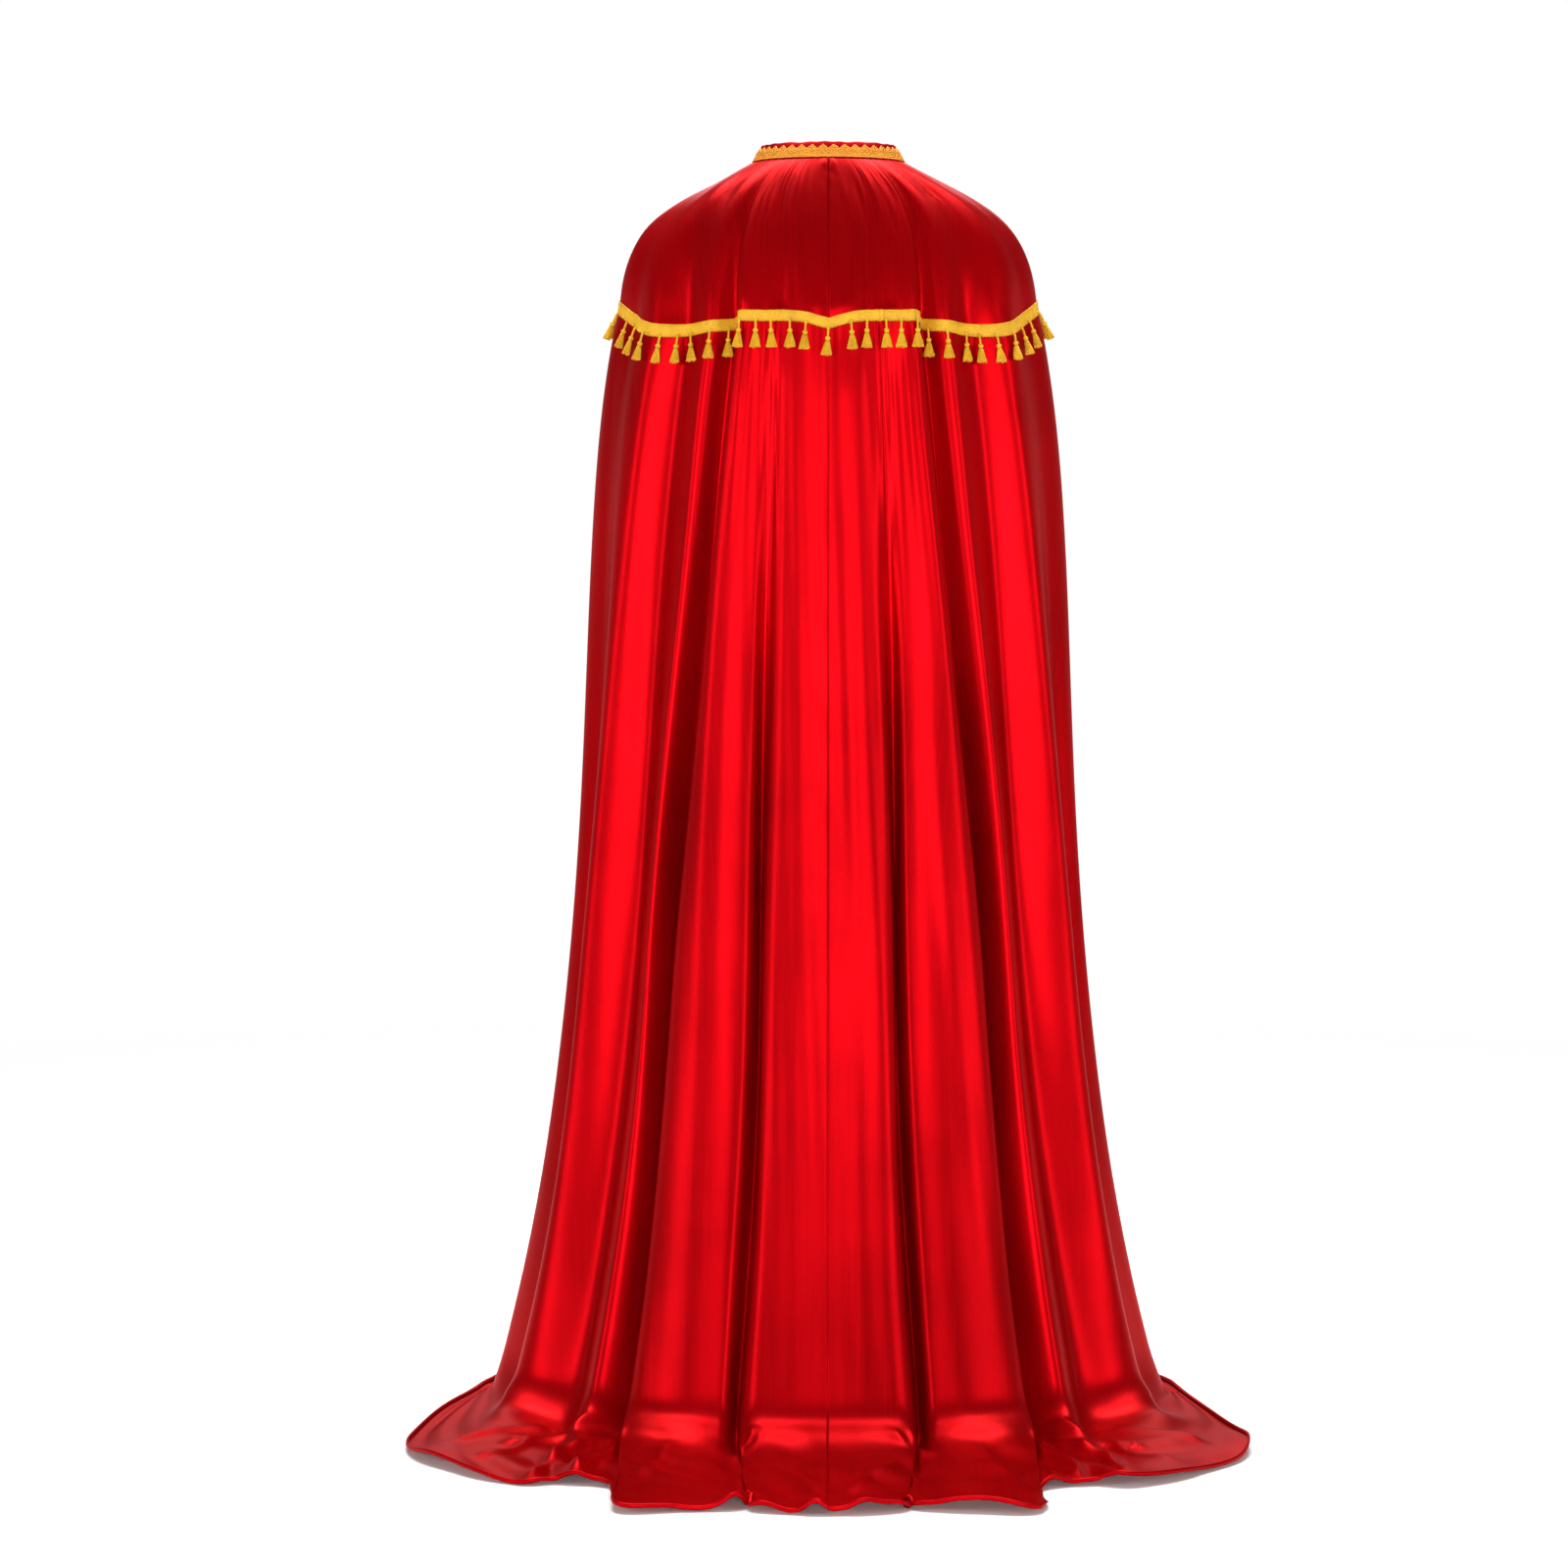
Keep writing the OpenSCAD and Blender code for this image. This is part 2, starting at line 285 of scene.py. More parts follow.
def train_point(u, t):
    """Train, t from 0 where the skirt meets the floor to 1 at the hem, straight between them."""
    start = skirt_point(u, np.ones_like(u))
    hem = np.stack([at(HEM_X, u) * MM, at(HEM_Y, u) * MM, FLOOR + 0 * u], -1)
    return mix(start, hem, t[..., None])


def cloth_point(u, v):
    """The whole cloth of one side: v runs 0 to 1 down the yoke, to 2 down the skirt and to 3 at
    the hem, with a quadratic Bezier bend where the skirt turns into the train."""
    t = np.clip((v - BEND_START) / (BEND_END - BEND_START), 0, 1)[..., None]
    first = skirt_point(u, np.full_like(u, BEND_START - 1))
    corner = skirt_point(u, np.ones_like(u))
    last = train_point(u, np.full_like(u, BEND_END - 2))
    bend = mix(mix(first, corner, t), mix(corner, last, t), t)
    yoke = yoke_point(u, np.clip(v, 0, 1))
    skirt = skirt_point(u, np.clip(v - 1, 0, 1))
    train = train_point(u, np.clip(v - 2, 0, 1))
    v = v[..., None]
    return np.where(v <= 1, yoke, np.where(v <= BEND_START, skirt, np.where(v >= BEND_END, train,
                                                                          bend)))


def unit(vectors):
    return vectors / np.maximum(np.linalg.norm(vectors, axis=-1, keepdims=True), 1e-12)


def outward(shape, u, v, step=0.01):
    """Unit normal of the surface shape(u, v): its slope along u crossed with its slope along v."""
    return unit(np.cross(shape(u + step, v) - shape(u - step, v),
                         shape(u, v + step) - shape(u, v - step)))


def drape(u, v, side):
    """Cloth points with the small relief of gathers, puckers and creases added along the
    surface's normal: each is a sine across or along the cloth under an exponential fade. The
    slack is a function of the signed u, so that the two sides differ and still meet."""
    points = cloth_point(u, v)
    out = outward(cloth_point, u, v)
    out[..., 0] *= smooth(u / 0.3)
    w = side * u
    down = v - 1
    # gathers under the yoke seam, about 18 mm apart, gone by a tenth of the skirt
    gather = np.sin(w * 7.4 + 1.7 * np.sin(w * 2.3)) * (0.6 + 0.4 * np.sin(w * 1.9 + 1))
    relief = 1.0 * MM * gather * np.exp(-np.maximum(down, 0) / 0.05) * smooth((v - 0.93) / 0.07)
    # puckers at the neckband
    pucker = np.sin(w * 9.3 + 2.0 * np.sin(w * 1.3))
    relief += 0.16 * MM * pucker * np.exp(-v / 0.04)
    # ease in the centre-back seam: a pinch at the neckband and short creases below it
    relief += 1.6 * MM * bump(u, 0.35, 0.25) * bump(v, 0.07, 0.06)
    seam = np.exp(-u / 0.35) * smooth((1.7 - v) / 0.5)
    crease = np.sin(v * 60 + w * 5.0 + 2 * np.sin(v * 9)) * (0.5 + 0.5 * np.sin(v * 5.3 + 1) ** 2)
    relief += 0.35 * MM * crease * seam * smooth(v / 0.1)
    relief -= 0.14 * MM * bump(u, 0, 0.08) * smooth((1.75 - v) / 0.3)
    # soft slack between the folds, longer down the drop than across it
    slack = smooth(v / 0.3) * smooth((2.1 - v) / 0.2) * smooth((np.abs(down) - 0.01) / 0.06)
    relief += 2.4 * MM * wander(w * 1.5, v * 1.6, 11, 7) * slack
    relief += 0.5 * MM * wander(w * 5.0, v * 4.0, 12, 9) * slack
    return points + relief[..., None] * out


# Creases of the train on the floor, on both sides: each runs from one point to another, in
# metres from the middle outwards and back, and has a height and a half width in millimetres
CREASES = (
    (0.284, 0.470, 0.245, 0.335, 16, 9), (0.320, 0.400, 0.270, 0.330, 12, 8),
    (0.360, 0.330, 0.285, 0.285, 12, 9), (0.104, 0.400, 0.082, 0.315, 13, 7),
    (0.085, 0.370, 0.045, 0.315, 11, 7), (0.340, 0.470, 0.300, 0.370, 9, 9),
    (0.430, 0.300, 0.350, 0.250, 9, 10), (0.215, 0.520, 0.180, 0.400, 7, 11),
    (0.020, 0.560, 0.060, 0.470, 6, 12), (0.390, 0.390, 0.350, 0.340, 8, 7),
)


def creases(points, side):
    """Lift of the train over its creases: each is height * exp(-(d / width)^2), d being the
    distance to its line, under an exponential fade past its two ends."""
    x, y = points[..., 0], points[..., 1]
    lift = 0 * x
    for k, (x0, y0, x1, y1, height, width) in enumerate(CREASES):
        shift = 0.006 * side * math.sin(3.7 * k)
        ax, ay = x1 - x0, y1 - y0
        length = math.hypot(ax, ay)
        along = ((x - x0 - shift) * ax + (y - y0 + shift) * ay) / length
        off = ((x - x0 - shift) * ay - (y - y0 + shift) * ax) / length
        off = off + 0.004 * np.sin(along * 55 + k)
        past = np.maximum(np.maximum(-along, along - length), 0)
        lift = lift + height * MM * bump(off, 0, width * MM) * np.exp(-(past / 0.018) ** 2)
    return lift


def floor_ripples(u, v, points, side):
    """Lift of the train off the floor: the skirt's folds die out towards the hem, crossed by
    slack creases, and the hem itself waves up between the places where it touches."""
    t = np.clip(v - 2, 0, 1)
    w = side * u
    on_floor = smooth((v - BEND_START) / 0.12)
    fold = (at(DEPTH_LOW, u) + 46) / 56
    lift = 0.022 * fold * np.exp(-t / 0.42)
    lift = lift + 0.006 * (0.5 + 0.5 * wander(w * 2.4, t * 7.0, 21, 7)) * smooth(t / 0.15)
    wave = (0.5 + 0.5 * np.sin(w * 3.3 + 1.4 * np.sin(w * 1.7))) ** 2
    lift = lift + 0.009 * wave * smooth((t - 0.6) / 0.4)
    lift = lift + 0.65 * creases(points, side) * smooth((t - 0.02) / 0.1)
    sideways = smooth((SIDE_SEAM + 0.2 - u) / 1.5)
    points = points.copy()
    points[..., 2] += lift * mix(0.25, 1, sideways) * on_floor
    return points


def surface(u, v, side=1.0):
    """Draped cloth with its train, always at least its own thickness above the floor. Its two
    sides lie at +X, and are mirrored afterwards."""
    points = floor_ripples(u, v, drape(u, v, side), side)
    points[..., 2] = np.maximum(points[..., 2], FLOOR + cloth_sizes().thickness + 0.0004)
    return points


def rolled(points, radius, turns=0.8, steps=7):
    """Extra rows past the last one that roll the cloth under: a circle of the given radius in
    the plane of the last row's own direction and the surface's normal."""
    ahead = unit(points[-1] - points[-2])
    out = unit(np.cross(np.gradient(points[-1], axis=0), ahead))
    rows = []
    for k in range(1, steps + 1):
        a = TAU * turns * k / steps
        rows.append(points[-1] + radius * (math.sin(a) * ahead + (1 - math.cos(a)) * out))
    return np.concatenate([points, np.array(rows)])


# ---------------------------------------------------------------- meshes


def grid_faces(rows, cols, flip=False, wrap=False):
    """Quads of a grid, rows by cols, joined round when wrap is set."""
    r = np.arange(rows - 1)[:, None]
    c = np.arange(cols if wrap else cols - 1)[None, :]
    n = (c + 1) % cols
    quads = np.stack([r * cols + c, r * cols + n, (r + 1) * cols + n, (r + 1) * cols + c], -1)
    quads = quads.reshape(-1, 4)
    return quads[:, ::-1] if flip else quads


def make_mesh(name, verts, faces, uv=None):
    """Object at the origin with its place in its mesh, and uv, when given, per vertex."""
    mesh = bpy.data.meshes.new(name)
    mesh.from_pydata(np.asarray(verts, float).tolist(), [], [list(face) for face in faces])
    if uv is not None:
        layer = mesh.uv_layers.new(name="cloth")
        loops = np.empty(len(mesh.loops), int)
        mesh.loops.foreach_get("vertex_index", loops)
        layer.data.foreach_set("uv", np.asarray(uv, float)[loops].astype(np.float32).ravel())
    mesh.polygons.foreach_set("use_smooth", np.full(len(mesh.polygons), True))
    mesh.update()
    piece = bpy.data.objects.new(name, mesh)
    bpy.context.scene.collection.objects.link(piece)
    return piece


def lengths(points):
    """Arc length across each row and down each column, in metres: the cloth's own flat places."""
    across = np.linalg.norm(np.diff(points, axis=1), axis=-1)
    down = np.linalg.norm(np.diff(points, axis=0), axis=-1)
    a = np.concatenate([np.zeros((len(points), 1)), np.cumsum(across, 1)], 1)
    b = np.concatenate([np.zeros((1, points.shape[1])), np.cumsum(down, 0)], 0)
    return np.stack([a, b], -1)


def area_of(points):
    """Area of a grid surface, each quad as two triangles."""
    a, b = points[:-1, :-1], points[:-1, 1:]
    c, d = points[1:, 1:], points[1:, :-1]
    half = np.linalg.norm(np.cross(b - a, c - a), axis=-1)
    other = np.linalg.norm(np.cross(c - a, d - a), axis=-1)
    return float((half.sum() + other.sum()) / 2)


def thicken(piece, thickness):
    """Solidify the sheet inwards, with its rim closed."""
    mod = piece.modifiers.new("cloth", "SOLIDIFY")
    mod.thickness = thickness
    mod.offset = -1
    mod.use_even_offset = False
    return piece


def tubes(paths, radii, sides):
    """Closed tubes carried along paths: paths is (n, rings, 3), radii is (n, rings). Each ring
    is a circle in the plane across its path, and each end is closed with a point."""
    n, rings, _ = paths.shape
    ahead = unit(np.gradient(paths, axis=1))
    ref = np.where(np.abs(ahead[..., 2:3]) < 0.9, np.array([0, 0, 1.0]), np.array([1.0, 0, 0]))
    ref = np.broadcast_to(ref[:, :1], ahead.shape)
    side = unit(np.cross(ahead, ref))
    up = np.cross(side, ahead)
    a = np.arange(sides) * TAU / sides
    ring = np.cos(a)[:, None] * side[:, :, None, :] + np.sin(a)[:, None] * up[:, :, None, :]
    verts = paths[:, :, None, :] + radii[:, :, None, None] * ring
    verts = verts.reshape(n, rings * sides, 3)
    verts = np.concatenate([verts, paths[:, :1], paths[:, -1:]], 1)
    per = rings * sides + 2
    quads = grid_faces(rings, sides, wrap=True)
    k = np.arange(sides)
    last = (rings - 1) * sides
    start = np.stack([np.full(sides, per - 2), (k + 1) % sides, k], -1)
    end = np.stack([np.full(sides, per - 1), last + k, last + (k + 1) % sides], -1)
    shift = (np.arange(n) * per)[:, None, None]
    faces = (quads[None] + shift).reshape(-1, 4).tolist()
    faces += (np.concatenate([start, end])[None] + shift).reshape(-1, 3).tolist()
    return verts.reshape(-1, 3), faces


def join_parts(parts):
    """One vertex list and face list from several (verts, faces) pairs."""
    verts, faces, base = [], [], 0
    for v, f in parts:
        verts.append(np.asarray(v, float).reshape(-1, 3))
        faces += [[int(i) + base for i in face] for face in f]
        base += len(verts[-1])
    return np.concatenate(verts), faces


# ---------------------------------------------------------------- finishes


class Val:
    """A value socket in a material. Arithmetic on it adds Math nodes."""

    def __init__(self, finish, socket):
        self.finish = finish
        self.socket = socket

    def maths(self, operation, *others, swap=False):
        inputs = [*others, self] if swap else [self, *others]
        return self.finish.add("ShaderNodeMath", {"operation": operation}, dict(enumerate(inputs)))

    def __add__(self, other):
        return self.maths("ADD", other)

    __radd__ = __add__

    def __sub__(self, other):
        return self.maths("SUBTRACT", other)

    def __rsub__(self, other):
        return self.maths("SUBTRACT", other, swap=True)

    def __mul__(self, other):
        return self.maths("MULTIPLY", other)

    __rmul__ = __mul__

    def sin(self):
        return self.maths("SINE")

    def between(self, low, high):
        """0 below low, 1 above high, smooth between them."""
        return self.finish.add(
            "ShaderNodeMapRange", {"interpolation_type": "SMOOTHSTEP"},
            {"Value": self, "From Min": low, "From Max": high})


class Finish:
    """A material or a world whose nodes are added one call at a time."""

    def __init__(self, name, made_in="materials", shader="Principled BSDF"):
        self.material = getattr(bpy.data, made_in).new(name)
        self.material.use_nodes = True
        self.tree = self.material.node_tree
        self.shader = self.tree.nodes[shader]

    def add(self, kind, settings=None, inputs=None, output=0):
        """One node: its settings are set first, then its inputs are linked or given values."""
        node = self.tree.nodes.new(kind)
        for key, value in (settings or {}).items():
            setattr(node, key, value)
        for key, value in (inputs or {}).items():
            self.feed(node.inputs[key], value)
        return Val(self, node.outputs[output])

    def feed(self, socket, value):
        if isinstance(value, Val):
            self.tree.links.new(value.socket, socket)
        else:
            socket.default_value = value

    def uv(self):
        """The cloth's own flat place, in metres: as a vector, across it and down it."""
        place = self.add("ShaderNodeUVMap", {"uv_map": "cloth"})
        across = self.add("ShaderNodeSeparateXYZ", None, {"Vector": place})
        down = Val(self, across.socket.node.outputs["Y"])
        return place, across, down

    def place(self):
        """The point in the object's own coordinates, in metres."""
        return self.add("ShaderNodeTexCoord", None, None, output=3)

    def stretched(self, vector, scale):
        return self.add("ShaderNodeMapping", None, {"Vector": vector, "Scale": scale})

    def noise(self, vector, scale, detail=3.0, roughness=0.5):
        return self.add("ShaderNodeTexNoise", None, {
            "Vector": vector, "Scale": scale, "Detail": detail, "Roughness": roughness})

    def blend(self, factor, a, b):
        """Mix of two colours."""
        node = self.tree.nodes.new("ShaderNodeMix")
        node.data_type = "RGBA"
        factor_in, a_in, b_in = (node.inputs[i] for i in (0, 6, 7))
        self.feed(factor_in, factor)
        self.feed(a_in, a)
        self.feed(b_in, b)
        return Val(self, node.outputs[2])

    def relief(self, height, distance, strength=1.0):
        bump_node = self.add("ShaderNodeBump", None, {
            "Height": height, "Distance": distance, "Strength": strength})
        self.feed(self.shader.inputs["Normal"], bump_node)

    def set(self, **values):
        for key, value in values.items():
            self.feed(self.shader.inputs[key.replace("_", " ")], value)
        return self


def opaque(colour, scale=1.0):
    return (*(min(c * scale, 1.0) for c in colour), 1.0)


# Colour that satin gives to what it mirrors
SATIN_GLEAM = (0.88, 0.12, 0.15)


def satin_finish(name, face, deep, roughness, metallic):
    """Satin: long glossy floats that colour what they reflect. Its red deepens in soft patches
    and along fine streaks of the warp, and its gloss and height follow the same streaks."""
    f = Finish(name)
    uv, across, down = f.uv()
    streak = f.noise(f.stretched(uv, (260.0, 6.0, 1.0)), 1.0, 4.0, 0.6)
    cloudy = f.noise(f.place(), 4.0, 3.0, 0.55)
    shade = (streak * 0.3 + cloudy * 0.7).between(0.34, 0.62)
    f.set(Base_Color=f.blend(shade, opaque(deep), opaque(face)))
    f.set(Roughness=roughness + 0.08 * (streak - 0.5), Metallic=metallic)
    f.set(Anisotropic=0.3, Specular_IOR_Level=0.2, Specular_Tint=opaque(SATIN_GLEAM))
    warp = (across * (TAU / 0.0006)).sin()
    floats = (down * (TAU / 0.0016) + warp * 1.6).sin()
    slub = f.noise(f.stretched(uv, (1200.0, 50.0, 1.0)), 1.0, 2.0)
    crumple = f.noise(f.stretched(uv, (9.0, 5.0, 1.0)), 1.0, 2.0, 0.4)
    f.relief(warp * 0.003 + floats * 0.004 + slub * 0.004 + crumple * 0.8, 0.0010, 1.0)
    return f.material


def thread_finish(name, colour, rib, roughness, metallic):
    """Twisted thread: slanting plies rib metres apart, glossy on their crowns, with the colour
    painted lighter on their crowns and darker between them as painted shade, and each stretch of
    thread a little lighter or darker."""
    f = Finish(name)
    place = f.place()
    patchy = f.noise(place, 420.0, 3.0, 0.6)
    slow = f.noise(place, 60.0, 2.0)
    ply = (f.add("ShaderNodeTexWave", {"wave_type": "BANDS", "bands_direction": "DIAGONAL"},
                 {"Vector": place, "Scale": 1 / rib / 3.2, "Distortion": 2.5, "Detail": 2.0},
                 output=1))
    # the ply bands in the colour are painted light on the plies' crowns and painted shade between
    # them; the two noises are random tone
    tone_and_ply_shade = (patchy * 0.5 + slow * 0.3 + ply * 0.3).between(0.28, 0.78)
    f.set(Base_Color=f.blend(tone_and_ply_shade, opaque(colour, 0.52), opaque(colour, 1.12)))
    f.set(Roughness=roughness + 0.2 * (1 - ply), Metallic=metallic)
    f.set(Sheen_Weight=0.25, Sheen_Roughness=0.4, Sheen_Tint=opaque(colour, 1.2))
    f.relief(ply * 0.7 + patchy * 0.5, 0.0003, 0.8)
    return f.material


def fleece_finish(name):
    """Non-woven stiffener: matt white with a short tangle of fibres."""
    f = Finish(name)
    tangle = f.noise(f.place(), 900.0, 5.0, 0.7)
    f.set(Base_Color=f.blend(tangle, (0.70, 0.69, 0.66, 1), (0.88, 0.87, 0.84, 1)))
    f.set(Roughness=0.85 + 0.1 * tangle)
    f.relief(tangle, 0.0003, 0.6)
    return f.material


def wire_finish(name):
    """Nickel-plated wire, with fine drawing marks and duller patches."""
    f = Finish(name)
    patch = f.noise(f.place(), 300.0, 3.0)
    f.set(Base_Color=f.blend(patch, (0.46, 0.46, 0.47, 1), (0.72, 0.72, 0.73, 1)))
    f.set(Metallic=1.0, Roughness=0.24 + 0.2 * patch)
    return f.material


def floor_finish(name):
    """Matt white paper that fades out from 2.4 m to 4.6 m from the wearer."""
    f = Finish(name)
    place = f.place()
    far = f.add("ShaderNodeVectorMath", {"operation": "LENGTH"}, {"Vector": place}, output=1)
    f.set(Base_Color=(0.96, 0.96, 0.96, 1), Roughness=0.9, Alpha=1 - far.between(2.4, 4.6))
    f.relief(f.noise(place, 40.0, 2.0), 0.0005, 0.1)
    return f.material


def make_finish(slot, name):
    c = colours()
    if slot == "satin":
        return satin_finish(name, c.satin, c.satin_deep, 0.36, 0.60)
    if slot == "facing_satin":
        return satin_finish(name, c.facing, [0.6 * x for x in c.facing], 0.5, 0.15)
    if slot == "gold_lace":
        return thread_finish(name, c.lace, 0.0009, 0.45, 0.10)
    if slot == "gold_tape":
        return thread_finish(name, c.tape, 0.0008, 0.50, 0.05)
    if slot == "tassel_thread":
        return thread_finish(name, c.tassel, 0.0007, 0.45, 0.05)
    if slot == "interfacing":
        return fleece_finish(name)
    if slot == "hook_wire":
        return wire_finish(name)
    return floor_finish(name)


def finish(slot):
    """The finish of a slot, made the first time that it's asked for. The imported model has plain
    materials of the slots' own names, so these have longer ones."""
    name = f"{slot}_finish"
    return bpy.data.materials.get(name) or make_finish(slot, name)


def dress(piece, slot, node, body=None):
    """Give a piece its finish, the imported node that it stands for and, unless it is to be
    blended between two, its body."""
    piece.data.materials.append(finish(slot))
    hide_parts(node)
    if body is not None:
        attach(piece, body)
    return piece


# ---------------------------------------------------------------- cloth panels


def mirror(points, side):
    return points * np.array([side, 1.0, 1.0])


def panel(name, us, vs, side, body=None, hem=False, edge=False):
    """One panel of cloth: the draped surface over the columns us and the rows vs, rolled under
    at the hem and along a front edge, with a UV map of the cloth's own flat place."""
    u, v = np.meshgrid(us, vs)
    points = surface(u, v, side)
    roll = cloth_sizes().hem_roll
    if hem:
        points = rolled(points, roll)
    if edge:
        points = rolled(points.swapaxes(0, 1)[:, ::-1], roll * 0.8)[:, ::-1].swapaxes(0, 1)
    points[..., 2] = np.maximum(points[..., 2], FLOOR + cloth_sizes().thickness)
    uv = lengths(points)
    size = (float(uv[:, -1, 0].max()), float(uv[-1, :, 1].max()))
    area = area_of(points)
    points = mirror(points, side)
    rows, cols = points.shape[:2]
    faces = grid_faces(rows, cols, flip=side < 0)
    piece = make_mesh(f"{name}_cloth", points.reshape(-1, 3), faces, uv.reshape(-1, 2))
    thicken(piece, cloth_sizes().thickness)
    dress(piece, "satin", name, body)
    size = tuple(round(x, 2) for x in size)
    return piece


def spaced(a, b, n):
    return np.linspace(a, b, n + 1)


# Stretches of v and about how long each is down the cloth, in metres: the yoke, the skirt, the
# bend at the floor and the train
YOKE_LENGTH = 0.21
SKIRT_LENGTH = 1.34
ROW_SPANS = ((0, 1, YOKE_LENGTH), (1, BEND_START, 1.28), (BEND_START, BEND_END, 0.12),
             (BEND_END, 3, 0.25))


def row_places(start, end, spacing):
    """Values of v from start to end, about spacing metres apart down the cloth."""
    marks = []
    for low, high, length in ROW_SPANS:
        a, b = max(start, low), min(end, high)
        if b > a:
            n = max(int(length * (b - a) / (high - low) / spacing), 2)
            marks.append(np.linspace(a, b, n + 1)[(0 if not marks else 1):])
    return np.concatenate(marks)


# Half the gap at the yoke seam, the yoke's upper edge and the fronts' hem, as values of v
SEAM = 0.0006
YOKE_TOP = 0.004
FRONT_HEM = 2.999
# Distance between the rows of a panel, in metres
YOKE_ROW = 0.005
BACK_ROW = 0.0075
FRONT_ROW = 0.0085


class CAPE_OT_yoke(bpy.types.Operator):
    """Back and front yoke panels of both sides"""
    bl_idname = "cape.yoke"
    bl_label = "Yoke"

    def execute(self, context):
        per_fold = cloth_sizes().columns
        for side, sign in SIDES:
            vs = row_places(YOKE_TOP, 1 - SEAM, YOKE_ROW)
            us = spaced(0, SIDE_SEAM, SIDE_SEAM * per_fold // 2)
            panel(f"yoke_back_{side}", us, vs, sign, "back")
            us = spaced(SIDE_SEAM, FRONT_EDGE, (FRONT_EDGE - SIDE_SEAM) * per_fold // 2)
            front = panel(f"yoke_front_{side}", us, vs, sign, edge=True)
            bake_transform(front)
        return {"FINISHED"}


class CAPE_OT_skirt(bpy.types.Operator):
    """Back and front skirt panels of both sides, with the train"""
    bl_idname = "cape.skirt"
    bl_label = "Skirt"

    def execute(self, context):
        per_fold = cloth_sizes().columns
        for side, sign in SIDES:
            us = spaced(0, SIDE_SEAM, SIDE_SEAM * per_fold)
            vs = row_places(1 + SEAM, 3, BACK_ROW)
            panel(f"skirt_back_{side}", us, vs, sign, "back", hem=True)
            us = spaced(SIDE_SEAM, FRONT_EDGE, (FRONT_EDGE - SIDE_SEAM) * per_fold)
            vs = row_places(1 + SEAM, FRONT_HEM, FRONT_ROW)
            front = panel(f"skirt_front_{side}", us, vs, sign, hem=True, edge=True)
            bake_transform(front)
        return {"FINISHED"}


# ---------------------------------------------------------------- neckband


def band_point(angle, z, out):
    """Oval that leans in with height z, out metres outside the band's face."""
    t = trim_sizes()
    lean = t.neck_lean * z / t.neck_height
    x = (t.neck_half_width - lean + out) * np.sin(angle)
    y = (t.neck_half_depth - lean + out) * np.cos(angle)
    return np.stack([x, y, z + 0 * x], -1)


# Mean radius of the neckband, which lays its angles out flat
BAND_RADIUS = 0.084


def closed_strip(node, angles, profile, slot):
    """A band of the closed profile [(z, out), ...] carried round the neck, ends closed."""
    points = np.stack([band_point(angles, z, out) for z, out in profile])
    rows, cols = points.shape[:2]
    body = points.reshape(-1, 3)
    faces = []
    for r in range(rows):
        n = (r + 1) % rows
        c = np.arange(cols - 1)
        quads = np.stack([r * cols + c, r * cols + c + 1, n * cols + c + 1, n * cols + c], -1)
        faces += quads.tolist()
    faces.append([r * cols for r in range(rows)])
    faces.append([r * cols + cols - 1 for r in range(rows)][::-1])
    flat = np.stack([np.broadcast_to(angles * BAND_RADIUS, (rows, cols)), points[..., 2]], -1)
    piece = make_mesh(f"{node}_cloth", body, faces, flat.reshape(-1, 2))
    recalculate(piece)
    return dress(piece, slot, node, "back")


def recalculate(piece):
    """Turn every face outwards."""
    bm = bmesh.new()
    bm.from_mesh(piece.data)
    bmesh.ops.recalc_face_normals(bm, faces=bm.faces)
    bm.to_mesh(piece.data)
    bm.free()


def uneven(angle):
    """Waver of a hand-turned edge: 0.35 mm sin(23 a + 1.3 sin 5 a) + 0.3 mm sin(9 a + 1)."""
    return (0.00035 * np.sin(angle * 23 + 1.3 * np.sin(angle * 5))
            + 0.0003 * np.sin(angle * 9 + 1))


def soft_profile(angles, places, top):
    """A band's profile, with its height wavering towards its top and its face all the way."""
    return [(height + uneven(angles) * (height / top), out + 0.6 * uneven(angles))
            for height, out in places]


class CAPE_OT_neckband(bpy.types.Operator):
    """Outer layer and facing of the stand neckband"""
    bl_idname = "cape.neckband"
    bl_label = "Neckband"

    def execute(self, context):
        t = trim_sizes()
        opening = math.radians(3.2)
        angles = np.linspace(-math.pi + opening, math.pi - opening, 420)
        top = t.neck_height

        outer = ((0.0, 0.0), (0.006, 0.0002), (0.013, 0.0001), (top - 0.0006, 0.0),
                 (top, -0.0003), (top - 0.0002, -0.0008), (0.010, -0.0010), (0.0, -0.0010))
        facing = ((0.0, -0.0023), (0.010, -0.0023), (top - 0.0002, -0.0023),
                  (top + 0.0002, -0.0026), (top - 0.0006, -0.0033), (0.010, -0.0034),
                  (0.0, -0.0033))
        closed_strip("neckband_outer", angles, soft_profile(angles, outer, top), "satin")
        closed_strip("neckband_facing", angles, soft_profile(angles, facing, top), "facing_satin")
        return {"FINISHED"}


def band_cord(angles, height, radius, out):
    """Cord laid round the neckband at a height, out metres off its face."""
    path = band_point(angles, height + 0 * angles, out + 0 * angles)[None]
    return tubes(path, np.full(path.shape[:2], radius), 6)


